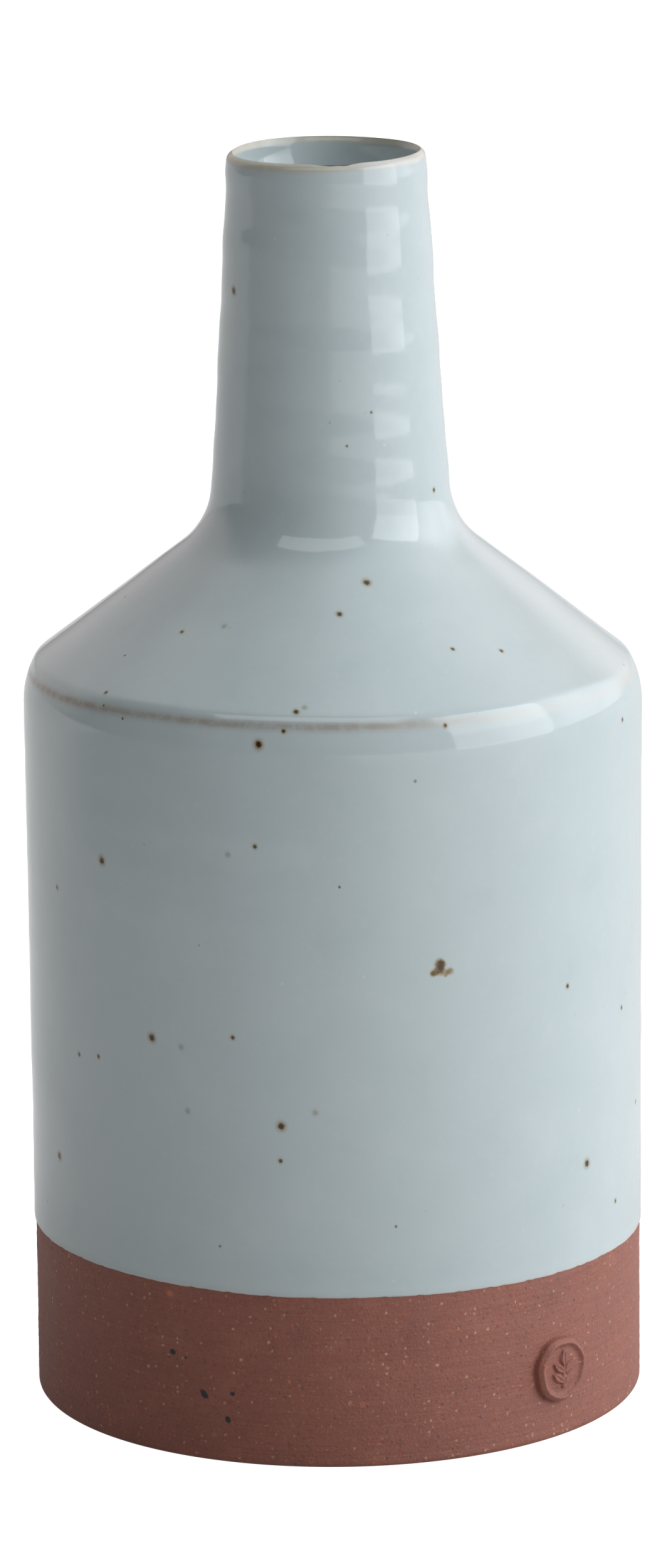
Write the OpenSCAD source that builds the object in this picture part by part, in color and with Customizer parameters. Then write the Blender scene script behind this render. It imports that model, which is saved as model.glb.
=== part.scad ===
// Thrown stoneware bud vase: a straight-walled round body, a conical shoulder and a slim tapering
// neck. Glaze covers the outside from the lip down to a line above the foot and lines the inside,
// and a small round seal of clay sits on the bare foot.
// The vase stands on Z = 0 with its axis on Z, and its front is -Y.

/* [Body] */
// Overall height, from the table to the top of the lip
height = 183.5; // [178:0.5:190]
// Widest diameter, glaze included, just under the shoulder
body_d = 90; // [88:0.5:96]
// Diameter of the bare clay foot
foot_d = 89.2; // [84:0.2:89.6]
// Thickness of the body's wall, both glazes included
wall = 4.5; // [3.5:0.1:6]
// Thickness of the floor above the table, lining included
floor_t = 6; // [4:0.5:9]
// Radius inside, where the floor meets the wall
floor_r = 8; // [4:0.5:12]

/* [Shoulder] */
// Height at which the wall begins to turn in
turn_z = 103; // [98:0.5:108]
// Radius of the soft turn up to the ridge
soft_r = 13; // [10:0.5:16]
// Angle that the soft turn takes, in degrees
soft_turn = 27; // [20:1:34]
// Radius of the ridge between the soft turn and the shoulder
ridge_r = 2.5; // [1.5:0.1:5]
// Slope of the shoulder, in degrees above level
shoulder_slope = 37.7; // [35:0.1:40]

/* [Neck] */
// Outside diameter of the neck at the lip
neck_d = 28.8; // [26:0.2:32]
// Taper of the neck's outside, in degrees from upright
neck_taper = 3.5; // [2.5:0.1:4.5]
// Taper of the neck's bore, in degrees from upright
bore_taper = 2.3; // [1.5:0.1:3]
// Radius of the hollow curve between shoulder and neck
hollow_r = 12; // [8:0.5:16]
// Thickness of the lip, rounded over the top
lip_t = 2.2; // [1.6:0.1:3]

/* [Foot] */
// Width of the ring that the vase stands on
ring_w = 9; // [6:0.5:14]
// Depth of the shallow turned recess under the floor
recess = 1.5; // [0.5:0.1:2.5]
// Height of the softened edge around the foot
edge_h = 1; // [0.5:0.1:2]
// How far the softened edge goes in
edge_in = 0.35; // [0.1:0.05:0.8]

/* [Glaze] */
// Thickness of the glaze, outside and inside
glaze_t = 0.2; // [0.1:0.05:0.4]
// Height of the line where the outer glaze ends above the foot
glaze_line = 25.6; // [18:0.2:40]
// Bare line along the lip's crest, in degrees of the lip's curve on each side
lip_gap = 10; // [5:1:20]

/* [Seal] */
// Diameter of the round seal
seal_d = 9.5; // [7:0.5:12]
// How far the seal stands out from the foot
seal_t = 0.9; // [0.6:0.1:1.5]
// Height of the seal's centre
seal_z = 10.5; // [8:0.5:14]
// Turn of the seal from the front, in degrees towards +X
seal_turn = 45.2; // [0:0.1:90]
// Height of the leaf sprig and of the rim on the seal
relief = 0.25; // [0.1:0.05:0.4]

/* [Hidden] */
$fn = 96;

arc_steps = 10;
body_r = body_d / 2;
foot_r = foot_d / 2;
seal_r = seal_d / 2;
lip_r = lip_t / 2;

// Directions at right angles to the shoulder, the neck and the bore, as angles up from level.
shoulder_a = 90 - shoulder_slope;
lip_mid = [neck_d / 2 - lip_r, height - lip_r];

// Centres of the two turns that make the ridge. They share a tangent at soft_turn.
soft_mid = [body_r - soft_r, turn_z];
ridge_mid = soft_mid + (soft_r - ridge_r) * unit(soft_turn);

// Each straight stretch is a line at a distance from the origin, measured along its own direction.
shoulder_out = along(ridge_mid, shoulder_a) + ridge_r;
shoulder_in = along(soft_mid, shoulder_a) + soft_r - wall;
neck_out = along(lip_mid, neck_taper) + lip_r;
neck_in = along(lip_mid, bore_taper) - lip_r;

// The hollow curve touches the shoulder and the neck, and its inside does the same one wall in.
hollow_in_r = hollow_r + wall - 1;
hollow_mid = meet(shoulder_a, shoulder_out + hollow_r, neck_taper, neck_out + hollow_r);
hollow_in_mid = meet(shoulder_a, shoulder_in + hollow_in_r, bore_taper, neck_in + hollow_in_r);
floor_mid = [body_r - wall - floor_r, floor_t + floor_r];

function unit(a) = [cos(a), sin(a)];
function along(p, a) = p * unit(a);
function arc(mid, r, from, to) =
    [for (i = [0:arc_steps]) mid + r * unit(from + (to - from) * i / arc_steps)];
function backwards(list) = [for (i = [len(list) - 1:-1:0]) list[i]];

// The point at distance d1 along direction a1 and at distance d2 along direction a2.
function meet(a1, d1, a2, d2) =
    [d1 * sin(a2) - d2 * sin(a1), d2 * cos(a1) - d1 * cos(a2)] / sin(a2 - a1);

// The outside from the glaze line to the lip, at a depth under the finished surface.
function outside(depth) = concat(
    [[foot_r + glaze_t - depth, glaze_line]],
    arc(soft_mid, soft_r - depth, 0, soft_turn),
    arc(ridge_mid, ridge_r - depth, soft_turn, shoulder_a),
    arc(hollow_mid, -hollow_r - depth, shoulder_a, neck_taper)
);

// The inside from the middle of the floor to the lip, at a depth under the finished surface.
function inside(depth) = concat(
    [[0, floor_t - depth]],
    arc(floor_mid, floor_r + depth, -90, 0),
    arc(soft_mid, soft_r - wall + depth, 0, shoulder_a),
    arc(hollow_in_mid, depth - hollow_in_r, shoulder_a, bore_taper)
);

// Part of the lip's half round, at a depth under the finished surface.
function lip(depth, from, to) = arc(lip_mid, lip_r - depth, from, to);

// The thrown clay: foot, wall, shoulder and neck are one piece.
module clay_body() {
    color("#7d4a3d")
        rotate_extrude()
            polygon(concat(
                [[0, recess], [foot_r - ring_w - recess, recess], [foot_r - ring_w, 0]],
                [[foot_r - edge_in, 0], [foot_r, edge_h]],
                outside(glaze_t),
                lip(glaze_t, neck_taper, 180 + bore_taper),
                backwards(inside(glaze_t))
            ));
}

// A thin skin that lies on the clay, between two depths of the same outline.
module skin(finished, underside) {
    color("#b3c0c3")
        rotate_extrude()
            polygon(concat(finished, backwards(underside)));
}

module outer_glaze() {
    skin(
        concat(outside(0), lip(0, neck_taper, 90 - lip_gap)),
        concat(outside(glaze_t), lip(glaze_t, neck_taper, 90 - lip_gap))
    );
}

module inner_glaze() {
    skin(
        concat(inside(0), lip(0, 180 + bore_taper, 90 + lip_gap)),
        concat(inside(glaze_t), lip(glaze_t, 180 + bore_taper, 90 + lip_gap))
    );
}

// A pointed leaf from the origin along +Y, where two equal circles overlap.
module leaf(length, width) {
    bow_r = (length * length + width * width) / (4 * width);
    translate([0, length / 2])
        intersection() {
            translate([bow_r - width / 2, 0]) circle(bow_r);
            translate([width / 2 - bow_r, 0]) circle(bow_r);
        }
}

// An upright sprig with pairs of leaves, drawn flat in a circle of radius r.
module sprig(r) {
    stem_w = 0.09 * r;
    translate([-stem_w / 2, -0.7 * r]) square([stem_w, 1.2 * r]);
    translate([0, 0.12 * r]) leaf(0.6 * r, 0.26 * r);
    for (step = [-0.45, -0.1], side = [-1, 1])
        translate([0, step * r]) rotate(side * 50) leaf(0.58 * r, 0.24 * r);
}

// The pad stands on the foot's own round wall, and its flat face looks outwards.
module maker_seal() {
    rim_w = 0.6;
    color("#8a5546")
        difference() {
            rotate([0, 0, seal_turn - 90])
                translate([foot_r + seal_t, 0, seal_z])
                    rotate([90, 0, 90]) {
                        rotate_extrude()
                            polygon([
                                [0, -2 * seal_t], [seal_r, -2 * seal_t], [seal_r, -relief],
                                [seal_r - relief, relief], [seal_r - rim_w, relief],
                                [seal_r - rim_w - relief, 0], [0, 0]
                            ]);
                        translate([0, 0, -relief])
                            linear_extrude(2 * relief)
                                sprig(seal_r - rim_w);
                    }
            cylinder(h = glaze_line, r = foot_r, $fn = 720);
        }
}

clay_body();
outer_glaze();
inner_glaze();
maker_seal();
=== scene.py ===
import math

import bpy
import numpy as np
from mathutils import Matrix, Vector


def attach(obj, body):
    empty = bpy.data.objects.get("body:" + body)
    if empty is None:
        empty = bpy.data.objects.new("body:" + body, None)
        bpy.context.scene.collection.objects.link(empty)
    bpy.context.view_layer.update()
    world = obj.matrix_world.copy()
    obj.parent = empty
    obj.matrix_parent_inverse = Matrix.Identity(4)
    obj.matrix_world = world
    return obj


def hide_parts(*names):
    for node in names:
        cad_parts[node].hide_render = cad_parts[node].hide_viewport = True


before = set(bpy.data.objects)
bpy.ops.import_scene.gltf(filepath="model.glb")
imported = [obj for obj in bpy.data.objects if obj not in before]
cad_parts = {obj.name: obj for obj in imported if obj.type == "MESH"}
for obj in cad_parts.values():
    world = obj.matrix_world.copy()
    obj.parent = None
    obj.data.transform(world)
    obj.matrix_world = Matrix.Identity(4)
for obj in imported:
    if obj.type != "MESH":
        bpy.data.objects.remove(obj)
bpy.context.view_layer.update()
mm = 0.001
print("frame loaded:", ", ".join(sorted(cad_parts)))

# The thrown form, in millimetres and degrees: the CAD's own driving sizes.
vaseForm = {
    "height": 183.5, "bodyRadius": 45.0, "footRadius": 44.6, "wall": 4.5,
    "floorTop": 6.0, "floorCurve": 8.0, "ringWidth": 9.0, "recess": 1.5,
    "turnHeight": 103.0, "softCurve": 13.0, "softTurn": 27.0,
    "ridgeCurve": 2.5, "shoulderSlope": 37.7, "hollowCurve": 12.0,
    "neckRadius": 14.4, "neckTaper": 3.5, "boreTaper": 2.3, "lipThickness": 2.2,
    "glaze": 0.2, "glazeLine": 25.6,
}

# What the thrower's hand left, in millimetres and degrees. Heights count from the table. A pair named as a
# span says where a change starts and where it is full, and one named as a band its middle and half width.
handMarks = {
    "seed": 7, "ripples": 16,
    "ovalBody": 0.05, "ovalNeck": 0.05,
    "leanAtLip": -0.15,                   # the neck leans a little to the left
    "ridgeTilt": (-0.28, 0.63),           # sine and cosine part of the ridge's height round the vase
    "rimTilt": 0.10, "rimWave": 0.09, "lipFlare": 0.17,
    "ringDepth": 0.012, "rippleDepth": 0.010,
    "wallSpan": (2, 12), "neckSpan": (112, 136), "leanSpan": (125, 183), "rimSpan": (165, 182),
    "ridgeBand": (108, 11), "flareBand": (180.7, 1.7),
    # Extra slope of the neck's wall, as height and degrees: it swells in faint steps.
    "neckSlopes": (
        (126, 0), (131, 0), (138, 1.2), (143, 0.8), (148, 0.4), (153, -1.0), (156.5, -0.3), (158, 1.2),
        (160, 1.2), (162, -0.4), (165, -1.4), (169, -1.2), (170.5, 0.2), (172, 1.5), (175, 1.5),
        (176.3, 0.2), (177.5, -1.3), (180, -0.9),
    ),
    # The same for the inside of the mouth, which opens out below the lip.
    "mouthSlopes": ((177.3, 0), (178.6, 12.5), (182.2, 12.5), (183.0, 0)),
    # The short stretch of lip where the glaze has drawn back from the clay: its middle turn and half width.
    "bareLip": (5.5, 13.5),
}


# A direction in the plane of radius and height: cosine and sine of an angle above level.
def unit(angle):
    a = np.radians(angle)
    return np.stack([np.cos(a), np.sin(a)], axis=-1)


# How far a point lies along a direction: their dot product.
def along(point, angle):
    return float(np.dot(point, unit(angle)))


# Points on a circle: middle + radius * unit(angle), the angle going evenly from start to end.
def arcLine(middle, radius, start, end, count=90):
    return np.asarray(middle) + radius * unit(np.linspace(start, end, count))


# Where two straight lines cross, each given by the angle at right angles to it and its distance from the
# origin: the point whose dot products with the two directions are the two distances.
def crossing(angle1, distance1, angle2, distance2):
    return np.linalg.solve(np.array([unit(angle1), unit(angle2)]), np.array([distance1, distance2]))


# The centres that the outline's arcs turn about. Each straight stretch touches the arcs at its ends.
def outlineCentres(f):
    lipRadius = f["lipThickness"] / 2
    shoulder = 90 - f["shoulderSlope"]
    lip = np.array([f["neckRadius"] - lipRadius, f["height"] - lipRadius])
    soft = np.array([f["bodyRadius"] - f["softCurve"], f["turnHeight"]])
    ridge = soft + (f["softCurve"] - f["ridgeCurve"]) * unit(f["softTurn"])
    innerHollow = f["hollowCurve"] + f["wall"] - 1
    return {
        "shoulder": shoulder, "lip": lip, "lipRadius": lipRadius, "soft": soft, "ridge": ridge,
        "hollow": crossing(
            shoulder, along(ridge, shoulder) + f["ridgeCurve"] + f["hollowCurve"],
            f["neckTaper"], along(lip, f["neckTaper"]) + lipRadius + f["hollowCurve"]),
        "innerHollow": crossing(
            shoulder, along(soft, shoulder) + f["softCurve"] - f["wall"] + innerHollow,
            f["boreTaper"], along(lip, f["boreTaper"]) - lipRadius + innerHollow),
        "innerHollowCurve": innerHollow,
        "floor": (f["bodyRadius"] - f["wall"] - f["floorCurve"], f["floorTop"] + f["floorCurve"]),
    }


centres = outlineCentres(vaseForm)


# The outside from the glaze line to the foot of the lip, at a depth under the finished surface.
def outsideLine(depth):
    f, c = vaseForm, centres
    return np.concatenate([
        [[f["footRadius"] + f["glaze"] - depth, f["glazeLine"]]],
        arcLine(c["soft"], f["softCurve"] - depth, 0, f["softTurn"]),
        arcLine(c["ridge"], f["ridgeCurve"] - depth, f["softTurn"], c["shoulder"]),
        arcLine(c["hollow"], -f["hollowCurve"] - depth, c["shoulder"], f["neckTaper"]),
    ])


# The inside from the middle of the floor to the lip, at a depth under the finished surface.
def insideLine(depth):
    f, c = vaseForm, centres
    return np.concatenate([
        [[0, f["floorTop"] - depth]],
        arcLine(c["floor"], f["floorCurve"] + depth, -90, 0),
        arcLine(c["soft"], f["softCurve"] - f["wall"] + depth, 0, c["shoulder"]),
        arcLine(c["innerHollow"], depth - c["innerHollowCurve"], c["shoulder"], f["boreTaper"]),
    ])


# Part of the lip's half round, at a depth under the finished surface.
def lipLine(depth, start, end):
    return arcLine(centres["lip"], centres["lipRadius"] - depth, start, end)


# The length of each step along a line.
def stepsOf(line):
    return np.hypot(*np.diff(line, axis=0).T)


# Rows along a line, closer together where the wanted spacing is small: the spacing is read at each height
# or length given, one over it is summed along the line, and a row falls at every whole number of the sum.
def rowsAlong(line, marks, spacings):
    line = line[np.concatenate([[True], stepsOf(line) > 1e-9])]
    length = np.concatenate([[0], np.cumsum(stepsOf(line))])
    fine = np.linspace(0, length[-1], 12000)
    wanted = np.interp(fine, marks, spacings)
    count = np.concatenate([[0], np.cumsum(np.diff(fine) / ((wanted[1:] + wanted[:-1]) / 2))])
    at = np.interp(np.linspace(0, count[-1], max(2, int(round(count[-1])) + 1)), count, fine)
    return np.stack([np.interp(at, length, line[:, 0]), np.interp(at, length, line[:, 1])], axis=1), at


# The direction out of the wall at each row: the line's own direction turned a quarter to the right.
def outOfWall(rows):
    tangent = np.gradient(rows, axis=0)
    normal = np.stack([tangent[:, 1], -tangent[:, 0]], axis=1)
    return normal / np.linalg.norm(normal, axis=1, keepdims=True)


# A smooth step from 0 to 1 between two values: 3t^2 - 2t^3, with t the share of the way between them.
def smoothStep(value, low, high):
    t = np.clip((value - low) / (high - low), 0, 1)
    return t * t * (3 - 2 * t)


marksRandom = np.random.default_rng(handMarks["seed"])
ripples = [
    (int(marksRandom.integers(1, 9)), float(marksRandom.uniform(0.10, 0.42)),
     float(marksRandom.uniform(0, 2 * np.pi)), float(marksRandom.uniform(0.4, 1.0)))
    for count in range(handMarks["ripples"])
]
neckFine = np.linspace(120, 184, 1281)


# How far a wall has swelled at each height: the tangent of its extra slope, smoothed and summed upwards.
def swellOf(slopes):
    slope = np.interp(neckFine, *np.transpose(slopes))
    slope = np.convolve(slope, np.hanning(31) / np.hanning(31).sum(), mode="same")
    return np.concatenate([[0], np.cumsum(np.tan(np.radians(slope[1:])) * np.diff(neckFine))])


neckSwell = -swellOf(handMarks["neckSlopes"])
mouthSwell = swellOf(handMarks["mouthSlopes"])


# A bell round a band's middle: e to the minus square of the distance over its half width.
def bell(value, band):
    return np.exp(-((value - band[0]) / band[1]) ** 2)


# Moves a true round wall to where the hand left it, and gives x, y and z in metres. Outwards it adds slow
# waves round the vase, drifting throwing rings, seeded ripples, the neck's swell, and the flare of the lip
# and the mouth. Upwards it adds the tilt of the ridge and of the rim, and sideways the lean of the neck.
def handThrown(radius, height, turn):
    m = handMarks
    onNeck, onWall = smoothStep(height, *m["neckSpan"]), smoothStep(height, *m["wallSpan"])
    out = (m["ovalBody"] * (1 - onNeck) + m["ovalNeck"] * onNeck) * onWall * (
        0.6 * np.cos(2 * turn + 0.7) + 0.4 * np.cos(3 * turn + 2.1))
    rings = np.sin(height * 1.05 + turn + 0.8 * np.sin(turn * 2)) + 0.6 * np.sin(height * 0.61 - turn + 1.3)
    out = out + m["ringDepth"] * onWall * (1 + onNeck) * rings
    for around, upright, phase, share in ripples:
        out = out + m["rippleDepth"] * share * onWall * np.sin(around * turn + upright * height + phase)
    out = out + np.interp(height, neckFine, neckSwell)
    uneven = 0.8 + 0.4 * np.cos(turn + 1.5) + 0.25 * np.sin(5 * turn + 1)
    out = out + bell(height, m["flareBand"]) * m["lipFlare"] * uneven
    inMouth = smoothStep(centres["lip"][0] + 0.6 - radius, 0, 1.7)
    out = out + np.interp(height, neckFine, mouthSwell) * inMouth
    tilt = m["ridgeTilt"][0] * np.sin(turn) + m["ridgeTilt"][1] * np.cos(turn)
    up = bell(height, m["ridgeBand"]) * tilt * smoothStep(radius, 20, 40)
    wave = 0.5 * np.sin(2 * turn + 0.4) + 0.5 * np.sin(3 * turn + 2.6) - 1
    up = up + smoothStep(height, *m["rimSpan"]) * (m["rimTilt"] * (np.sin(turn) - 1) + m["rimWave"] * wave)
    r = radius + out * smoothStep(radius, 1, 10)
    lean = m["leanAtLip"] * smoothStep(height, *m["leanSpan"])
    return np.stack([r * np.sin(turn) + lean, -r * np.cos(turn), height + up], axis=-1) * mm


# Puts a new object with this data in the scene.
def placed(name, data):
    thing = bpy.data.objects.new(name, data)
    bpy.context.scene.collection.objects.link(thing)
    return thing


# A mesh from a grid of points, rows by columns. Columns close round the vase. With poles, the first and
# last rows are drawn together into single points, and the faces there lose a corner; otherwise the last row
# joins the first. Gives the object, where each face's corners start and how many they are, and for each
# corner the grid's row and column, so a pattern can be laid on the faces.
def gridPiece(name, grid, poles):
    rows, columns = grid.shape[:2]
    points, index = grid.reshape(-1, 3), np.arange(rows * columns).reshape(rows, columns)
    low, high = index, np.roll(index, -1, axis=0)
    if poles:
        points = np.concatenate([grid[:1, 0], grid[1:-1].reshape(-1, 3), grid[-1:, 0]])
        index = np.clip(index - columns + 1, 0, len(points) - 1)
        low, high = index[:-1], index[1:]
    quads = np.stack([low, np.roll(low, -1, axis=1), np.roll(high, -1, axis=1), high], axis=-1)
    rowOf = np.arange(len(low))[:, None, None] + np.array([0, 0, 1, 1])
    columnOf = np.arange(columns)[None, :, None] + np.array([0, 1, 1, 0])
    keep = np.ones(quads.shape, bool)
    if poles:
        keep[0, :, 1] = keep[-1, :, 2] = False
    corners, cornerRow, cornerColumn = (
        np.broadcast_to(values, quads.shape)[keep] for values in (quads, rowOf, columnOf))
    sizes = keep.reshape(-1, 4).sum(axis=1)
    starts = np.concatenate([[0], np.cumsum(sizes)[:-1]])
    # six times the volume inside, from the faces split at their first corner; negative means inside out
    a, b, c = points[corners[starts]], points[corners[starts + 1]], points[corners[starts + 2]]
    d = points[corners[starts + sizes - 1]]
    volume = np.einsum("ij,ij->", a, np.cross(b, c)) + np.einsum("ij,ij->", a, np.cross(c, d))
    if volume < 0:
        # each face's corners in the other order: the face's first plus its last, less the corner's own place
        order = (2 * starts + sizes - 1).repeat(sizes) - np.arange(len(corners))
        corners, cornerRow, cornerColumn = corners[order], cornerRow[order], cornerColumn[order]
    mesh = bpy.data.meshes.new(name)
    mesh.vertices.add(len(points))
    mesh.vertices.foreach_set("co", points.astype(np.float32).ravel())
    mesh.loops.add(len(corners))
    mesh.loops.foreach_set("vertex_index", corners.astype(np.int32))
    mesh.polygons.add(len(starts))
    mesh.polygons.foreach_set("loop_start", starts.astype(np.int32))
    mesh.update(calc_edges=True)
    mesh.validate()
    mesh.shade_smooth()
    return placed(name, mesh), starts, sizes, cornerRow, cornerColumn


# Writes a vector for each point of a grid piece. Poles are drawn together as in its mesh.
def pointMark(piece, name, values, poles):
    flat = values.reshape(-1, 3)
    if poles:
        flat = np.concatenate([values[:1, 0], values[1:-1].reshape(-1, 3), values[-1:, 0]])
    made = piece.data.attributes.new(name, "FLOAT_VECTOR", "POINT")
    made.data.foreach_set("vector", flat.astype(np.float32).ravel())


# the second marks the bare lip: the middle of a dark spot, painted shade over the clay's own dark brown
farAway, shadedLipSpot = (99.0, 99.0, 0.0), (0.0, 0.0, 0.39)


# Where u and v lie in each spot's own frame, turned by its slant and divided by its half width and height.
def inSpot(u, v, s):
    cosine, sine = np.cos(np.radians(s[:, 4])), np.sin(np.radians(s[:, 4]))
    return (u * cosine + v * sine) / s[:, 2], (v * cosine - u * sine) / s[:, 3]


# For each face, finds the nearest spot by distance over size. Each corner then gets its offset from that spot,
# divided by the spot's size, with the spot's darkness as the third number. A row that isn't visible is far
# from every spot, and a row of bare lip is in the middle of a dark one, which paints it near black as painted
# shade. A spot is its turn, its length along the wall, half width, half height, slant and darkness.
def spotMark(piece, faces, spots, turns, lengths, radii, visible, shadedLip=None):
    starts, sizes, row, column = faces
    turn = turns[column % len(turns)] + 2 * np.pi * (column // len(turns))
    length, radius = lengths[row % len(lengths), column % len(turns)], radii[row % len(radii)]
    s = np.array(spots, float)
    faceTurn, faceLength, faceRadius = (np.add.reduceat(v, starts) / sizes for v in (turn, length, radius))
    aside = (faceTurn[:, None] - np.radians(s[None, :, 0]) + np.pi) % (2 * np.pi) - np.pi
    offset = inSpot(aside * faceRadius[:, None], faceLength[:, None] - s[None, :, 1], s)
    s = s[np.hypot(*offset).argmin(axis=1).repeat(sizes)]
    aside = (turn - np.radians(s[:, 0]) + np.pi) % (2 * np.pi) - np.pi
    place = np.stack([*inSpot(aside * radius, length - s[:, 1], s), s[:, 5]], axis=1)
    place[~visible[row % len(visible)]] = farAway
    # the bare lip gets the middle of a dark spot: painted shade, near black
    if shadedLip is not None:
        place[shadedLip[row % len(shadedLip)]] = shadedLipSpot
    made = piece.data.attributes.new("spotPlace", "FLOAT_VECTOR", "CORNER")
    made.data.foreach_set("vector", place.astype(np.float32).ravel())


# Gives a piece its material, in a slot of its own, and its body, and hides the CAD node that it takes the
# place of.
def finishPiece(piece, material, node):
    piece.data.materials.append(material)
    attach(piece, "root")
    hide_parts(node)
    print("made", piece.name, "with", len(piece.data.vertices), "points")


# Makes a shader node, sets its plain inputs and links the ones that come from other nodes.
def addNode(tree, kind, inputs=None, **settings):
    node = tree.nodes.new(kind)
    for key, value in settings.items():
        setattr(node, key, value)
    for key, value in (inputs or {}).items():
        if isinstance(value, bpy.types.NodeSocket):
            tree.links.new(value, node.inputs[key])
        else:
            node.inputs[key].default_value = value
    return node


# One operation on two numbers, the result held between 0 and 1 if clamped.
def mathNode(tree, operation, first, second=0.0, clamp=False):
    settings = {"operation": operation, "use_clamp": clamp}
    return addNode(tree, "ShaderNodeMath", {0: first, 1: second}, **settings).outputs[0]


# The product of two numbers.
def times(tree, first, second, clamp=False):
    return mathNode(tree, "MULTIPLY", first, second, clamp)


# One operation on two vectors. Lengths, distances and dot products come out as "Value".
def vectorNode(tree, operation, first, second=(0, 0, 0), output="Vector"):
    return addNode(tree, "ShaderNodeVectorMath", {0: first, 1: second}, operation=operation).outputs[output]


# A smooth step between two values of the input, from one output to another.
def rangeNode(tree, value, fromLow, fromHigh, toLow=0.0, toHigh=1.0):
    return addNode(tree, "ShaderNodeMapRange", {
        "Value": value, "From Min": fromLow, "From Max": fromHigh, "To Min": toLow, "To Max": toHigh,
    }, interpolation_type="SMOOTHSTEP").outputs["Result"]


# The first colour times one minus the factor, plus the second times the factor.
def mixColour(tree, factor, first, second):
    node = addNode(tree, "ShaderNodeMix", data_type="RGBA")
    for socket, value in ((node.inputs[0], factor), (node.inputs[6], first), (node.inputs[7], second)):
        if isinstance(value, bpy.types.NodeSocket):
            tree.links.new(value, socket)
        else:
            socket.default_value = value if socket.type != "RGBA" else (*value[:3], 1)
    return node.outputs[2]


# Lays tones over a colour in turn. Each row says which pattern is read, where its smooth step starts and
# ends, how much of the tone is laid at most, and the tone.
def layTones(tree, look, colour, rows):
    for pattern, low, high, most, tone in rows:
        colour = mixColour(tree, rangeNode(tree, pattern, low, high, 0.0, most), colour, look[tone])
    return colour


# Noise at a scale in waves per metre.
def noiseNode(tree, vector, scale, detail=3.0, roughness=0.55, output="Fac"):
    return addNode(tree, "ShaderNodeTexNoise", {
        "Vector": vector, "Scale": scale, "Detail": detail, "Roughness": roughness}).outputs[output]


# Round cells, and three numbers of chance for each cell.
def cellNodes(tree, place, scale):
    cells = addNode(tree, "ShaderNodeTexVoronoi", {"Vector": place, "Scale": scale})
    chance = addNode(tree, "ShaderNodeSeparateColor", {0: cells.outputs["Color"]})
    return cells.outputs["Distance"], chance.outputs


# A new material, its empty node tree, and the place on the piece, in metres.
def newMaterial(name):
    material = bpy.data.materials.new(name)
    material.use_nodes = True
    tree = material.node_tree
    tree.nodes.clear()
    return material, tree, addNode(tree, "ShaderNodeTexCoord").outputs["Object"]


# Ends a material: the surface with these inputs, and its height in millimetres as a bump if there is one.
def endMaterial(tree, inputs, height=None):
    if height is not None:
        bump = addNode(tree, "ShaderNodeBump", {"Height": height, "Distance": mm, "Strength": 1.0})
        inputs = {**inputs, "Normal": bump.outputs[0]}
    shader = addNode(tree, "ShaderNodeBsdfPrincipled", inputs)
    addNode(tree, "ShaderNodeOutputMaterial", {0: shader.outputs[0]})


# Distance from the nearest spot, in spot sizes, with its edge made ragged by noise, and its darkness.
def raggedSpot(tree, place, grain, raggedness):
    spot = addNode(tree, "ShaderNodeAttribute", attribute_name="spotPlace").outputs["Vector"]
    wander = noiseNode(tree, place, grain, 2.0, output="Color")
    centred = vectorNode(tree, "SUBTRACT", wander, (0.5, 0.5, 0.5))
    scaled = vectorNode(tree, "MULTIPLY", centred, (raggedness, raggedness, 0))
    moved = vectorNode(tree, "ADD", vectorNode(tree, "MULTIPLY", spot, (1, 1, 0)), scaled)
    darkness = addNode(tree, "ShaderNodeSeparateXYZ", {0: spot}).outputs["Z"]
    return vectorNode(tree, "LENGTH", moved, output="Value"), darkness


# The big bloom of iron: turn and height, then each blot's offset sideways and upwards and its reach, all in
# millimetres, and its darkness.
bloomLook = {
    "turn": 19.5, "height": 73.2,
    "blots": (
        (-0.25, 0.66, 0.66, 0.95), (0.10, 0.40, 0.56, 0.50), (-0.15, -0.10, 0.42, 0.45),
        (-0.90, -0.50, 0.55, 0.62), (-1.40, -0.70, 0.42, 0.42), (-0.05, -0.60, 0.45, 0.42),
        (0.70, -0.65, 0.42, 0.42), (1.35, -0.60, 0.50, 0.58), (0.60, -1.15, 0.28, 0.30),
    ),
}


# Each blot's middle lies on the wall: its turn moves by the sideways offset over the wall's radius. Gives
# x, y, z and reach in metres, and darkness.
def bloomBlots(look):
    radius = vaseForm["bodyRadius"] - 0.1
    blots = []
    for side, rise, reach, dark in look["blots"]:
        turn = math.radians(look["turn"]) + side / radius
        middle = (radius * math.sin(turn) * mm, -radius * math.cos(turn) * mm, (look["height"] + rise) * mm)
        blots.append((middle, reach * mm, dark))
    return blots


glazeLook = {
    "colour": (0.462, 0.530, 0.545), "milky": (0.505, 0.570, 0.582), "deep": (0.425, 0.497, 0.515),
    "brokenBrown": (0.275, 0.240, 0.195), "brokenPaleAndHighlight": (0.56, 0.515, 0.475), "edgePale": (0.62, 0.56, 0.52),
    "spotCore": (0.040, 0.024, 0.013), "spotHalo": (0.31, 0.235, 0.115), "spotMid": (0.13, 0.088, 0.036),
    "bloomCore": (0.060, 0.029, 0.023), "paleDot": (0.72, 0.75, 0.74), "greyDot": (0.20, 0.21, 0.20),
    "lipTone": (0.475, 0.435, 0.345), "roughness": 0.075,
    "bloom": bloomBlots(bloomLook),
}
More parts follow.
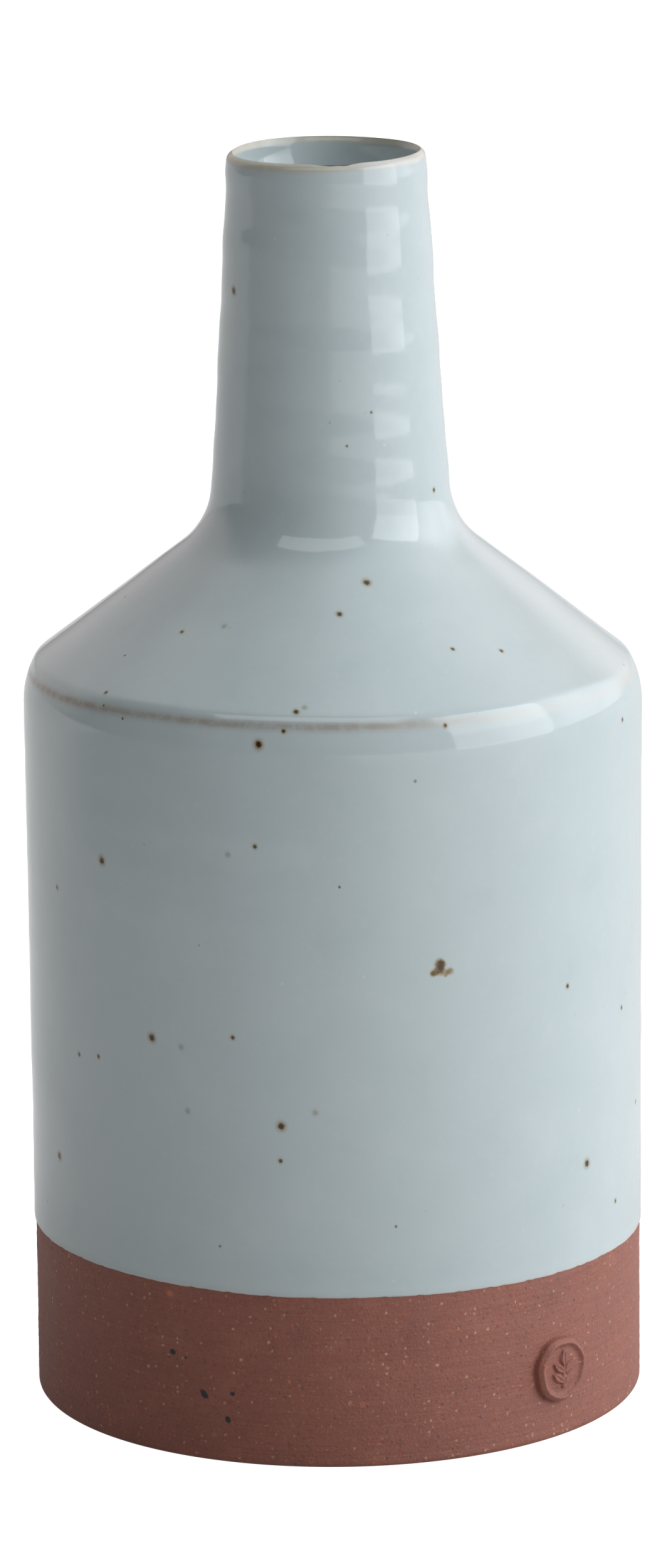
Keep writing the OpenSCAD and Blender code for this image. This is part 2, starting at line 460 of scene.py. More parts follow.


# Pale blue-grey glaze: three close tones in soft clouds, brown where it runs thin and pale as a painted
# highlight towards the lit side, iron specks with a tan halo, a few tiny pits, and a slight ripple in the
# gloss.
def makeGlaze(look):
    material, tree, place = newMaterial("paleBlueGreyGlaze")
    clouds, mottle = noiseNode(tree, place, 95.0, 4.0), noiseNode(tree, place, 900.0, 3.0, 0.6)
    colour = layTones(tree, look, look["colour"], (
        (clouds, 0.45, 0.80, 0.55, "milky"), (clouds, 0.48, 0.22, 0.60, "deep"),
        (mottle, 0.50, 0.80, 0.35, "milky")))

    # tiny pale, grey and brown dots: round cells, each with its own chance of showing
    cells, chance = cellNodes(tree, place, 260.0)
    uneven = rangeNode(tree, mottle, 0.3, 0.7, -0.02, 0.02)
    dot = rangeNode(tree, mathNode(tree, "ADD", cells, uneven), 0.080, 0.020)
    for which, test, limit, strength, tone in (
            (0, "LESS_THAN", 0.07, 0.40, "paleDot"), (1, "GREATER_THAN", 0.80, 0.22, "greyDot"),
            (0, "GREATER_THAN", 0.94, 0.65, "spotMid")):
        shown = times(tree, dot, mathNode(tree, test, chance[which], limit))
        colour = mixColour(tree, times(tree, shown, strength), colour, look[tone])

    # thin glaze on the ridge and the lip, and the pale lower edge. The third number is the tone: up to 1
    # from brown to pale on the ridge, and 2 on the lip. Its pale end, towards the lit right, is a painted
    # highlight over the thin glaze's own brown and olive.
    thin = addNode(tree, "ShaderNodeAttribute", attribute_name="thinGlaze").outputs["Vector"]
    thinness, lowerEdge, toneAndLitSide = addNode(tree, "ShaderNodeSeparateXYZ", {0: thin}).outputs
    broken = noiseNode(tree, place, 620.0, 3.0, 0.65)
    brownHere = times(tree, thinness, rangeNode(tree, broken, 0.30, 0.62, 0.58, 1.0), True)
    brokenTone = mixColour(tree, rangeNode(tree, toneAndLitSide, 0.0, 1.0), look["brokenBrown"], look["brokenPaleAndHighlight"])
    brokenTone = mixColour(tree, rangeNode(tree, toneAndLitSide, 1.4, 1.9), brokenTone, look["lipTone"])
    colour = mixColour(tree, brownHere, colour, brokenTone)
    edgeHere = times(tree, lowerEdge, rangeNode(tree, broken, 0.25, 0.6, 0.5, 1.0), True)
    colour = mixColour(tree, edgeHere, colour, look["edgePale"])

    distance, darkness = raggedSpot(tree, place, 2600.0, 0.55)
    # the bloom: each blot's darkness fades as e to the minus square of the distance over its reach
    bloom = 0.0
    for middle, reach, dark in look["bloom"]:
        far = vectorNode(tree, "DISTANCE", place, middle, "Value")
        square = mathNode(tree, "POWER", times(tree, far, 1 / reach), 2.0)
        blot = mathNode(tree, "EXPONENT", times(tree, square, -1.0))
        bloom = mathNode(tree, "ADD", times(tree, blot, dark), bloom)
    ragged = noiseNode(tree, place, 1500.0, 3.0, 0.6)
    bloom = times(tree, bloom, rangeNode(tree, ragged, 0.3, 0.7, 0.65, 1.35))
    halo = times(tree, rangeNode(tree, distance, 2.0, 0.5), times(tree, darkness, 0.72))
    middle = times(tree, rangeNode(tree, distance, 1.10, 0.45), rangeNode(tree, darkness, 0.0, 0.6))
    core = times(tree, rangeNode(tree, distance, 0.70, 0.40), rangeNode(tree, darkness, 0.55, 0.95))
    bloomCore = times(tree, rangeNode(tree, bloom, 0.66, 1.30), 0.85)
    halo = mathNode(tree, "MAXIMUM", halo, times(tree, rangeNode(tree, bloom, 0.03, 0.42), 0.85))
    middle = mathNode(tree, "MAXIMUM", middle, rangeNode(tree, bloom, 0.28, 0.80))
    for here, tone in ((halo, "spotHalo"), (middle, "spotMid"), (core, "spotCore"), (bloomCore, "bloomCore")):
        colour = mixColour(tree, here, colour, look[tone])

    # gloss: a slow ripple with a fine orange peel over it, and spots sunk a little
    slow, fine = noiseNode(tree, place, 210.0, 2.0, 0.5), noiseNode(tree, place, 1500.0, 2.0, 0.5)
    height = mathNode(tree, "ADD", times(tree, slow, 0.030), times(tree, fine, 0.0030))
    height = mathNode(tree, "SUBTRACT", height, times(tree, core, 0.012))
    rough = rangeNode(tree, mottle, 0.3, 0.8, look["roughness"] - 0.03, look["roughness"] + 0.05)
    rough = mathNode(tree, "ADD", rough, times(tree, brownHere, 0.15))
    endMaterial(tree, {"Base Color": colour, "Roughness": rough, "IOR": 1.5}, height)
    return material


clayLook = {
    "colour": (0.265, 0.089, 0.060), "light": (0.352, 0.135, 0.093), "dark": (0.178, 0.055, 0.036),
    "cream": (0.54, 0.31, 0.20), "orange": (0.50, 0.155, 0.070), "rust": (0.27, 0.045, 0.022),
    "slate": (0.095, 0.068, 0.068), "ironSpotAndLipShade": (0.026, 0.022, 0.023), "roughness": 0.60, "sheen": 0.62,
    # Grog: cells per metre, reach of a grain in its cell, share of cells that hold one, and its strength
    "grog": ((330.0, 0.18, 0.05, 0.55), (720.0, 0.26, 0.15, 0.50), (1500.0, 0.42, 0.42, 0.75)),
}


# Bare red-brown stoneware: clouded tone with level streaks from turning, cream, orange, rust and slate grog
# in ragged cells of three sizes, iron spots, and a dry uneven skin.
def makeClay(look):
    material, tree, place = newMaterial("bareRedClay")
    level = addNode(tree, "ShaderNodeMapping", {"Vector": place, "Scale": (90.0, 90.0, 3400.0)}).outputs[0]
    clouds, streaks = noiseNode(tree, place, 170.0, 5.0, 0.6), noiseNode(tree, level, 1.0, 4.0, 0.65)
    rusty, speckle = noiseNode(tree, place, 1300.0, 4.0, 0.7), noiseNode(tree, place, 3300.0, 3.0, 0.7)
    colour = layTones(tree, look, look["colour"], (
        (clouds, 0.48, 0.80, 0.60, "light"), (clouds, 0.48, 0.22, 0.60, "dark"),
        (streaks, 0.50, 0.78, 0.55, "dark"), (streaks, 0.46, 0.24, 0.35, "light"),
        (rusty, 0.54, 0.74, 0.60, "rust"),
        (speckle, 0.54, 0.72, 0.75, "light"), (speckle, 0.46, 0.28, 0.75, "dark")))
    lump = 0.0
    for scale, reach, shows, strength in look["grog"]:
        cells, chance = cellNodes(tree, place, scale)
        uneven = noiseNode(tree, place, scale * 3.2, 3.0, 0.7)
        away = mathNode(tree, "ADD", cells, rangeNode(tree, uneven, 0.3, 0.7, -0.16, 0.16))
        grain = times(tree, rangeNode(tree, away, reach, reach * 0.25),
                      mathNode(tree, "LESS_THAN", chance[0], shows))
        tone = mixColour(tree, rangeNode(tree, chance[1], 0.60, 0.85), look["orange"], look["cream"])
        tone = mixColour(tree, mathNode(tree, "GREATER_THAN", chance[2], 0.55), tone, look["rust"])
        tone = mixColour(tree, mathNode(tree, "GREATER_THAN", chance[2], 0.80), tone, look["slate"])
        amount = rangeNode(tree, chance[1], 0, 1, strength * 0.5, strength * 1.25)
        colour = mixColour(tree, times(tree, grain, amount), colour, tone)
        lump = mathNode(tree, "ADD", lump, grain)

    # a spot's darkness tells what it is: iron over 0.35, where the bare lip's painted shade also falls, orange
    # grog over 0.12, cream grog under that
    distance, darkness = raggedSpot(tree, place, 2000.0, 0.6)
    core = times(tree, rangeNode(tree, distance, 1.10, 0.65), rangeNode(tree, darkness, 0.25, 0.45))
    isFleck = mathNode(tree, "LESS_THAN", darkness, 0.25)
    fleck = times(tree, rangeNode(tree, distance, 1.10, 0.45), isFleck)
    isOrange = mathNode(tree, "GREATER_THAN", darkness, 0.12)
    fleckTone = mixColour(tree, isOrange, look["cream"], look["orange"])
    colour = mixColour(tree, core, colour, look["ironSpotAndLipShade"])
    colour = mixColour(tree, times(tree, fleck, 0.85), colour, fleckTone)
    grit = noiseNode(tree, place, 2300.0, 4.0, 0.65)
    height = mathNode(tree, "ADD", times(tree, grit, 0.12), times(tree, streaks, 0.070))
    height = mathNode(tree, "ADD", height, times(tree, lump, 0.035))
    height = mathNode(tree, "SUBTRACT", height, times(tree, core, 0.10))
    rough = rangeNode(tree, clouds, 0.3, 0.7, look["roughness"] - 0.04, look["roughness"] + 0.08)
    endMaterial(tree, {"Base Color": colour, "Roughness": rough, "IOR": 1.5,
                       "Specular IOR Level": look["sheen"]}, height)
    return material


glazeMaterial = makeGlaze(glazeLook)
clayMaterial = makeClay(clayLook)
print("materials made")

# Kinds of iron speck in the glaze: half width in millimetres, and darkness.
speckKinds = {"t": (0.20, 0.50), "f": (0.45, 0.22), "s": (0.34, 0.75), "ms": (0.46, 0.85), "m": (0.58, 1.0)}
outerGlazeLook = {
    "columns": 384, "seed": 21,
    "edgeRoll": 0.38, "lipRoll": 0.25, "edgeSwell": 0.03, "lipEnd": 86.0,
    # The glaze line: its mean height, the sine and cosine part of its tilt, its wander, and its teeth as
    # their number round the vase and their height
    "lineHeight": 25.0, "lineTilt": (-0.59, 0.40), "wander": 0.45, "teeth": (144, 0.16),
    "ridgeHeight": 108.0, "ridgeBand": 0.58,
    # Turn from the front towards +X, height, and kind
    "specks": (
        (-60.9, 164.3, "m"), (8.4, 143.3, "t"), (21.5, 147.9, "t"), (59.5, 135.3, "s"), (12.4, 124.8, "m"),
        (2.2, 121.3, "ms"), (-41.4, 118.0, "s"), (-30.0, 119.3, "f"), (29.8, 116.35, "s"), (42.3, 115.3, "s"),
        (-52.4, 114.1, "t"), (-78.7, 119.4, "t"), (-6.9, 109.9, "ms"), (-5.4, 110.4, "f"),
        (-48.6, 109.8, "s"), (-9.0, 107.4, "s"), (-42.0, 107.0, "t"), (-47.6, 108.2, "t"),
        (20.9, 107.6, "s"), (-13.5, 105.5, "m"), (67.3, 103.2, "s"), (-47.3, 86.4, "m"), (-14.3, 91.4, "s"),
        (-19.4, 90.0, "f"), (-62.4, 80.1, "s"), (0.9, 85.8, "t"), (47.6, 67.2, "s"), (67.1, 60.5, "s"),
        (-35.6, 61.9, "m"), (-19.0, 63.4, "s"), (-29.3, 61.2, "f"), (-55.4, 56.5, "s"), (-49.3, 57.2, "s"),
        (-10.1, 50.8, "m"), (-3.9, 52.9, "f"), (-10.3, 45.7, "s"), (-63.9, 39.7, "m"), (53.4, 39.8, "m"),
        (-28.1, 51.9, "f"), (76.9, 44.3, "s"), (64.2, 32.0, "s"), (10.6, 35.8, "t"), (-22.0, 32.4, "t"),
    ),
    "backSpecks": 34,
}


# Height of the glaze line round the vase: a tilted ring with seeded slow waves and small teeth.
def glazeLineAt(look, turn):
    waves = 0
    random = np.random.default_rng(look["seed"])
    for around in (3, 5, 8, 13, 21, 34, 55, 83):
        size = random.uniform(0.4, 1.0) * 0.18 / around ** 0.45
        waves = waves + size * np.sin(around * turn + random.uniform(0, 6.28))
    (sine, cosine), (count, tall) = look["lineTilt"], look["teeth"]
    teeth = np.clip(np.sin(count * turn + 3 * np.sin(9 * turn)) * np.sin(25 * turn + 1) - 0.25, 0, 1)
    tilted = look["lineHeight"] + sine * np.sin(turn) + cosine * np.cos(turn)
    return tilted + waves * look["wander"] + tall * teeth


# The turn of each column, going from the front towards +X.
def turnsOf(columns):
    return np.arange(columns) * 2 * np.pi / columns


# How bare the lip is at each turn: e to the minus fourth power of the distance over the half width.
def bareLip(turn):
    middle, half = np.radians(handMarks["bareLip"])
    away = (turn - middle + np.pi) % (2 * np.pi) - np.pi
    return np.exp(-(away / half) ** 4)


# How deep the rolled edge lies under the full coat: a quarter ellipse over the first part of the way in.
def rolledEdge(fromEdge, width, thickness):
    t = np.clip(fromEdge / width, 0, 1)
    return thickness * (1 - np.sqrt(1 - (1 - t) ** 2))


# Slides a coat's rows on the lip round its half circle, so that the last row ends on the edge at each turn:
# the new angle is start + share * (edge - start), the share being how far of the span the row had come.
def slideOnLip(rows, depth, onLip, radius, height, span, edge):
    middle = centres["lip"]
    angle = np.degrees(np.arctan2(rows[:, 1] - middle[1], rows[:, 0] - middle[0])) % 360
    share = (angle - span[0]) / (span[1] - span[0])
    newAngle = np.radians(span[0] + share[:, None] * (edge - span[0])[None, :])
    reach = (centres["lipRadius"] - depth)[:, None]
    return (np.where(onLip[:, None], middle[0] + reach * np.cos(newAngle), radius),
            np.where(onLip[:, None], middle[1] + reach * np.sin(newAngle), height))


# The outer glaze's two faces, joined at the glaze line and at the lip. Rows near the line follow its height
# round the vase, and rows on the lip follow its bare stretch.
def makeOuterGlaze(look):
    f, c = vaseForm, centres
    turn, lipEnd = turnsOf(look["columns"]), look["lipEnd"]
    line = np.concatenate([outsideLine(0), lipLine(0, f["neckTaper"], lipEnd)])
    total = stepsOf(line).sum()
    marks = (0, 0.45, 1.2, 4, 70, 78, 82, 86, 92, 104, 112, 124, 165, total - 2.2, total - 0.6, total)
    spacings = (0.06, 0.09, 0.4, 1.7, 1.7, 0.8, 0.42, 0.42, 1.1, 1.1, 0.8, 1.0, 1.0, 0.32, 0.14, 0.06)
    outer, outerAt = rowsAlong(line, marks, spacings)
    under, underAt = rowsAlong(line, (0, 6, total - 4, total), (0.6, 3.6, 3.4, 0.5))
    under, underAt = under[::-1], underAt[::-1]

    # outer lip edge: close to the crest, but lower down over the short bare stretch at the front
    lipEdge = 91.0 - 37.0 * bareLip(turn) * (1 + 0.06 * np.sin(41 * turn)) + 1.2 * np.sin(9 * turn + 1)
    lineRise = glazeLineAt(look, turn) - f["glazeLine"]

    def place(rows, at, coat):
        normal = outOfWall(rows) if coat else -outOfWall(rows)
        rise = (1 - smoothStep(rows[:, 1], f["glazeLine"], 40))[:, None] * lineRise[None, :]
        depth = np.full(len(rows), f["glaze"] + 0.02)
        if coat:
            depth = rolledEdge(at, look["edgeRoll"], f["glaze"])
            depth = depth + rolledEdge(total - at, look["lipRoll"], f["glaze"])
            depth = depth - look["edgeSwell"] * bell(at, (0.9, 0.5))
        spot = rows - normal * depth[:, None]
        onLip = (rows[:, 1] > c["lip"][1] + 0.08) & (rows[:, 0] > c["lip"][0] - 0.01)
        span = (f["neckTaper"], lipEnd)
        return (*slideOnLip(rows, depth, onLip, spot[:, :1], spot[:, 1:] + rise, span, lipEdge),
                at[:, None] + rise)

    top, bottom = place(outer, outerAt, True), place(under, underAt, False)
    radius, height, length = (np.concatenate([top[i], bottom[i]]) for i in range(3))
    piece, *faces = gridPiece("outerGlaze", handThrown(radius, height, turn[None, :]), False)

    # where the glaze is thin: the ridge's line, the lip, and the lower edge
    ridgeAt = look["ridgeHeight"] - 0.45 * smoothStep(-np.sin(turn), 0.5, 1)
    stronger = 0.62 + 0.30 * np.cos(turn + np.radians(55)) + 0.10 * np.sin(4 * turn + 1)
    stronger = np.clip(stronger + 0.08 * np.sin(11 * turn), 0.15, 1)
    ridgeThin = bell(height, (ridgeAt, look["ridgeBand"])) * stronger * smoothStep(radius, 30, 38)
    lipThin = smoothStep(height, 182.0 + 0.25 * np.sin(3 * turn), 182.9) * 0.85
    # the tone turns pale towards the right, the side the light comes from: a painted highlight on the ridge
    # and the lip
    litSideHighlight = smoothStep(np.sin(turn), -0.2, 0.9)
    edge = np.clip(np.exp(-(length - lineRise) / 0.22) * (height < 30), 0, 1)
    tone = np.where(height < 150, 0.15 + 0.85 * litSideHighlight, 2.0 - 1.2 * litSideHighlight ** 2)
    pointMark(piece, "thinGlaze", np.stack([np.maximum(ridgeThin, lipThin), edge, tone], axis=-1), False)

    # specks, those of the back seeded, with lengths along the wall for heights
    specks = [(*speck, 20.0) for speck in look["specks"]]
    random = np.random.default_rng(look["seed"])
    for count in range(look["backSpecks"]):
        kind = ("t", "s", "s", "f", "ms", "m")[int(random.integers(0, 6))]
        specks.append((random.uniform(88, 272), random.uniform(28, 170), kind, random.uniform(0, 180)))
    dense, denseAt = rowsAlong(line, (0, total), (0.2, 0.2))
    spots = []
    for side, up, kind, slant in specks:
        half, dark = speckKinds[kind]
        spots.append((side, np.interp(up, dense[:, 1], denseAt), half, half * 1.1, slant, dark))
    rowRadius = np.concatenate([outer[:, 0], under[:, 0]])
    spotMark(piece, faces, spots, turn, length, rowRadius, np.arange(len(length)) < len(outer))
    finishPiece(piece, glazeMaterial, "outer_glaze")


makeOuterGlaze(outerGlazeLook)

innerGlazeLook = {
    "columns": 320, "seed": 5, "specks": 26, "lipEdge": 88.0, "bareEdge": 128.0, "lipRoll": 0.25,
}


# The lining's two faces: from the middle of the floor up to the lip, and back down under it.
def makeInnerGlaze(look):
    f, c = vaseForm, centres
    turn = turnsOf(look["columns"])
    lipStart, lipEnd = 180 + f["boreTaper"], look["lipEdge"]
    line = np.concatenate([insideLine(0), lipLine(0, lipStart, lipEnd)])
    total = stepsOf(line).sum()
    marks = (0, 30, 36, 50, 60, 130, 150, 170, 190, total - 6, total - 2.5, total - 0.5, total)
    spacings = (4, 3, 1.5, 1.5, 4, 4, 1.5, 1.5, 2.0, 1.2, 0.35, 0.15, 0.06)
    face, faceAt = rowsAlong(line, marks, spacings)
    back, backAt = rowsAlong(line, marks, [2 * spacing + 0.3 for spacing in spacings])
    back, backAt = back[::-1], backAt[::-1]
    lipEdge = lipEnd + (look["bareEdge"] - lipEnd) * bareLip(turn) + 1.0 * np.sin(8 * turn + 2)

    def place(rows, at, coat):
        normal = -outOfWall(rows) if coat else outOfWall(rows)
        depth = np.full(len(rows), f["glaze"] + 0.02)
        if coat:
            depth = rolledEdge(total - at, look["lipRoll"], f["glaze"])
        spot = rows - normal * depth[:, None]
        spot[rows[:, 0] < 1e-6, 0] = 0
        onLip = (rows[:, 1] > c["lip"][1] + 0.05) & (rows[:, 0] < c["lip"][0] + 0.2)
        return slideOnLip(rows, depth, onLip, spot[:, :1], spot[:, 1:], (lipStart, lipEnd), lipEdge)

    top, bottom = place(face, faceAt, True), place(back, backAt, False)
    radius, height = (np.concatenate([top[i], bottom[i]]) for i in range(2))
    piece, *faces = gridPiece("innerGlaze", handThrown(radius, height, turn[None, :]), True)
    lipThin = smoothStep(height, 182.2, 183.0) * 0.85
    pointMark(piece, "thinGlaze", np.stack([lipThin, 0 * lipThin, 2 + 0 * lipThin], axis=-1), True)
    random = np.random.default_rng(look["seed"])
    spots = [(random.uniform(0, 360), random.uniform(30, 215), 0.35, 0.4, 30.0, 0.8)
             for count in range(look["specks"])]
    length = np.broadcast_to(np.concatenate([faceAt, backAt])[:, None], radius.shape)
    rowRadius = np.concatenate([face[:, 0], back[:, 0]])
    spotMark(piece, faces, spots, turn, length, rowRadius, np.arange(len(length)) < len(face))
    finishPiece(piece, glazeMaterial, "inner_glaze")


makeInnerGlaze(innerGlazeLook)

clayBodyLook = {
    "columns": 384, "seed": 11,
    "turningLines": ((0.45, 0.006), (0.72, 0.010), (1.31, 0.012), (3.1, 0.010)),   # wavelength, depth
    "grains": 620, "grainHeight": 0.045,
    "scoreHeight": 10.0, "scoreDepth": 0.05, "scoreTurns": (-2, 36),
    # Dark iron spots: turn, height, half width, half height, slant, darkness
    "ironSpots": (
        (-32.3, 15.5, 0.55, 0.48, 0, 1), (-29.5, 15.0, 0.20, 0.20, 0, 0.9), (-25.8, 9.9, 0.88, 0.52, -50, 1),
        (-20.1, 10.5, 0.42, 0.36, 0, 0.9), (-21.1, 6.5, 0.46, 0.62, 20, 1),
        # pale and orange grog that stands out, with a darkness under a quarter
        (-32.8, 24.2, 0.70, 0.55, 0, 0.2), (-18.3, 15.7, 0.32, 0.28, 0, 0.05),
        (-38.0, 12.6, 0.28, 0.30, 0, 0.05), (-9.2, 12.9, 0.22, 0.42, 0, 0.2),
        (-13.0, 18.6, 0.26, 0.30, 0, 0.1), (-60.0, 22.0, 0.20, 0.40, 0, 0.2),
        (12.0, 15.5, 0.24, 0.46, 15, 0.2), (18.3, 14.6, 0.32, 0.26, 0, 0.05),
        (28.6, 18.9, 0.26, 0.32, 0, 0.05), (22.5, 19.6, 0.20, 0.36, -30, 0.2),
        (17.0, 6.4, 0.20, 0.20, 0, 0.1), (37.0, 3.3, 0.24, 0.22, 0, 0.05),
        # iron on the back
        (140, 12, 0.6, 0.5, 30, 1), (171, 18, 0.45, 0.4, 0, 1), (205, 7, 0.5, 0.6, 0, 1),
        (238, 14, 0.7, 0.45, -30, 1), (96, 8, 0.5, 0.4, 0, 1),
    ),
}


# The clay's whole outline as one line from the middle of the underside, round the outside and the lip, down
# to the middle of the floor. On the foot the hand-turned skin is added: level lines and raised grains.
def makeClayBody(look):
    f, columns = vaseForm, look["columns"]
    turn, g = turnsOf(columns), f["glaze"]
    ringOut, ringIn = f["footRadius"], f["footRadius"] - f["ringWidth"]
    underside = np.concatenate([
        [[0, f["recess"]], [ringIn - f["recess"] - 0.6, f["recess"]]],
        arcLine((ringIn - f["recess"] - 0.6, f["recess"] - 0.8), 0.8, 90, 45, 12),
        arcLine((ringIn + 0.5, 0.7), -0.7, 45, 90, 12),
        [[ringOut - 1.2, 0]],
        arcLine((ringOut - 0.75, 0.75), 0.75, -90, 0, 24),
    ])
    foot = np.array([[ringOut, 0.8], [ringOut, f["glazeLine"]]])
    lip = lipLine(g, f["neckTaper"], 180 + f["boreTaper"])
    line = np.concatenate([underside, foot, outsideLine(g)[1:], lip, insideLine(g)[::-1]])
    length = np.concatenate([[0], np.cumsum(stepsOf(line))])
    footStart = length[len(underside)]
    lineAt = footStart + f["glazeLine"] - 0.8
    lipAt = length[len(underside) + 2 + len(outsideLine(g)) - 1]
    total = length[-1]
    marks = (0, 33, 34, 35.5, 37, 43, 43.6, footStart, lineAt + 0.6, lineAt + 3,
             lipAt - 3, lipAt - 0.5, lipAt + 3.5, lipAt + 6, total - 60, total)
    spacings = (4, 3, 0.35, 0.35, 2, 1.5, 0.16, 0.29, 0.32, 3.2, 3.0, 0.24, 0.24, 3.0, 6, 6)
    rows = rowsAlong(line, marks, spacings)[0]
    radius = np.repeat(rows[:, :1], columns, axis=1)
    height = np.repeat(rows[:, 1:], columns, axis=1)

    onFoot = smoothStep(rows[:, 1], 0.4, 1.2) * (1 - smoothStep(rows[:, 1], 26.6, 27.6))
    onFoot = onFoot * (rows[:, 0] > ringOut - 1)
    skin = 0
    for wave, depth in look["turningLines"]:
        drift = 0.9 * np.sin(turn + wave) + 0.5 * np.sin(3 * turn + 5 * wave)
        skin = skin + depth * np.sin(2 * np.pi * height / wave + drift[None, :] + 2.1 * np.sin(height * 0.7))
    low, high = np.radians(look["scoreTurns"])
    scored = smoothStep(turn, low, low + 0.15) * (1 - smoothStep(turn, high - 0.2, high))
    scored = np.maximum(scored, smoothStep(turn, low + 2 * np.pi, low + 2 * np.pi + 0.1))
    scoredAt = look["scoreHeight"] + 0.2 * np.sin(3 * turn)
    skin = skin - look["scoreDepth"] * scored * bell(height, (scoredAt, 0.22))
    random = np.random.default_rng(look["seed"])
    grainTurn = random.uniform(0, 2 * np.pi, look["grains"])
    grainHeight = random.uniform(1.2, 26.5, look["grains"])
    grainSize = random.uniform(0.28, 0.55, look["grains"])
    grainRise = random.uniform(-0.8, 1.0, look["grains"]) * look["grainHeight"]
    band = (onFoot > 0).nonzero()[0]
    for grain in range(look["grains"]):
        # only the patch of the grid that the grain covers is touched
        col = np.arange(-4, 5) + int(round(grainTurn[grain] / (2 * np.pi) * columns))
        close = band[np.abs(rows[band, 1] - grainHeight[grain]) < 1.5]
        aside = ((turn[col % columns] - grainTurn[grain] + np.pi) % (2 * np.pi) - np.pi) * ringOut
        above = rows[close, 1] - grainHeight[grain]
        away = (aside[None, :] ** 2 + above[:, None] ** 2) / grainSize[grain] ** 2
        skin[np.ix_(close, col % columns)] += grainRise[grain] * np.exp(-away)
    radius = radius + skin * onFoot[:, None]
    piece, *faces = gridPiece("clayBody", handThrown(radius, height, turn[None, :]), True)
    # spots show on the foot, and the clay laid bare on the lip is painted near black: its own dark brown with
    # painted shade over it
    visible = (rows[:, 1] < 28) & (rows[:, 0] > 30)
    spotMark(piece, faces, look["ironSpots"], turn, height, rows[:, 0], visible, rows[:, 1] > 180)
    finishPiece(piece, clayMaterial, "clay_body")


makeClayBody(clayBodyLook)

sealLook = {
    "turn": 45.2, "height": 10.5, "radius": 4.75, "stand": 0.9,
    "rim": 0.62, "relief": 0.44, "edgeRound": 0.32, "rows": 76, "columns": 200,
    # Leaves of the sprig: base sideways and up, tilt from upright, length and half width, as shares of its
    # own radius
    "leaves": ((0, 0.14, 0, 0.72, 0.26), (0, -0.55, 52, 0.76, 0.24), (0, -0.55, -52, 0.76, 0.24),
               (0, -0.10, 52, 0.70, 0.23), (0, -0.10, -52, 0.70, 0.23)),
}


# A round pad bent round the foot. Its face rises into a soft rim and a leaf sprig: each leaf is where two
# bows meet, its height falling with distance from its middle line. Two numbers, distance from the middle and
# angle, place every point, and the outer rows go down the side and under, inside the clay.
def makeSeal(look):
    f, pad = vaseForm, look["radius"]
    share = np.concatenate([np.linspace(0, 1, look["rows"]) ** 0.9, np.ones(8), [0.9, 0.0]])
    down = np.concatenate([np.zeros(look["rows"]), np.linspace(0.12, 1.0, 8), [1.0, 1.0]])
    turn = turnsOf(look["columns"])
    wobble = 1 + 0.018 * np.sin(3 * turn + 1) + 0.012 * np.sin(7 * turn)
    away = share[:, None] * pad * wobble[None, :]
    u, v = away * np.cos(turn), away * np.sin(turn)
    fromEdge = pad * wobble[None, :] - away
    rim = bell(fromEdge, (look["rim"] * 1.1, look["rim"] * 0.62))
    sprig = pad - 2 * look["rim"]
    stem = 0.09 * sprig
    upStem = smoothStep(v, -0.85 * sprig, -0.7 * sprig) * (1 - smoothStep(v, 0.3 * sprig, 0.5 * sprig))
    raised = smoothStep(stem * 1.8 - np.abs(u), 0, stem * 1.6) * upStem * 0.75
    for baseU, baseV, tilt, long, wide in look["leaves"]:
        a = math.radians(tilt)
        x, y = u - baseU * sprig, v - baseV * sprig
        lengthwise = (x * math.sin(a) + y * math.cos(a)) / (long * sprig)
        across = (x * math.cos(a) - y * math.sin(a)) / (wide * sprig)
        bow = 4 * np.clip(lengthwise, 0, 1) * (1 - np.clip(lengthwise, 0, 1))
        inside = np.where(bow > 0.02, np.clip(1 - np.abs(across) / np.maximum(bow, 0.02), 0, 1), 0)
        vein = 0.25 * np.exp(-(across / 0.14) ** 2)
        raised = np.maximum(raised, smoothStep(inside, 0, 0.55) * (1 - vein))
    relief = look["relief"] * (rim + raised) - 0.05 * bell(fromEdge, (1.5, 0.5))
    top = f["footRadius"] + look["stand"] + relief
    base, sink = f["footRadius"] - 0.6, down[:, None]
    side = (top - look["edgeRound"]) * (1 - sink) + base * sink
    radius = np.where(sink > 0, side, top - rolledEdge(fromEdge, look["edgeRound"], look["edgeRound"]))
    spread = 1 + 0.05 * smoothStep(down, 0.2, 0.9) * (share > 0.95)
    u, v = u * spread[:, None], v * spread[:, None]
    around = math.radians(look["turn"]) + u / f["footRadius"]
    points = np.stack([radius * np.sin(around), -radius * np.cos(around), look["height"] + v], axis=-1) * mm
    piece = gridPiece("makerSeal", points, True)[0]
    pointMark(piece, "spotPlace", np.full(points.shape, farAway), True)
    finishPiece(piece, clayMaterial, "maker_seal")


makeSeal(sealLook)

# Table: a wide sheet that glows as if lit from behind and from the right. Its glow has five parts, and each
# span says, in metres, where a part starts and where it is full.
tableLook = {
    "size": 7.0, "steps": 25, "albedo": 0.30, "seen": 1.05,
    "nearGlow": 0.16, "rightGlow": 0.64, "frontGlow": 0.45, "farGlow": 0.02, "behindGlow": 0.50,
    "nearSpan": (0.16, 0.085), "behindSpan": (-0.02, 0.25), "rightSpan": (-0.05, 0.20),
    "farSpan": (0.30, 0.46),
}


# The studio itself is seen as plain white, from every side, while its light on the vase stays as set: the
# larger of the light and the seen white, which counts only for the camera's own rays.
def seenWhite(tree, light, seen):
    direct = addNode(tree, "ShaderNodeLightPath").outputs["Is Camera Ray"]
    return mathNode(tree, "MAXIMUM", light, times(tree, direct, seen))


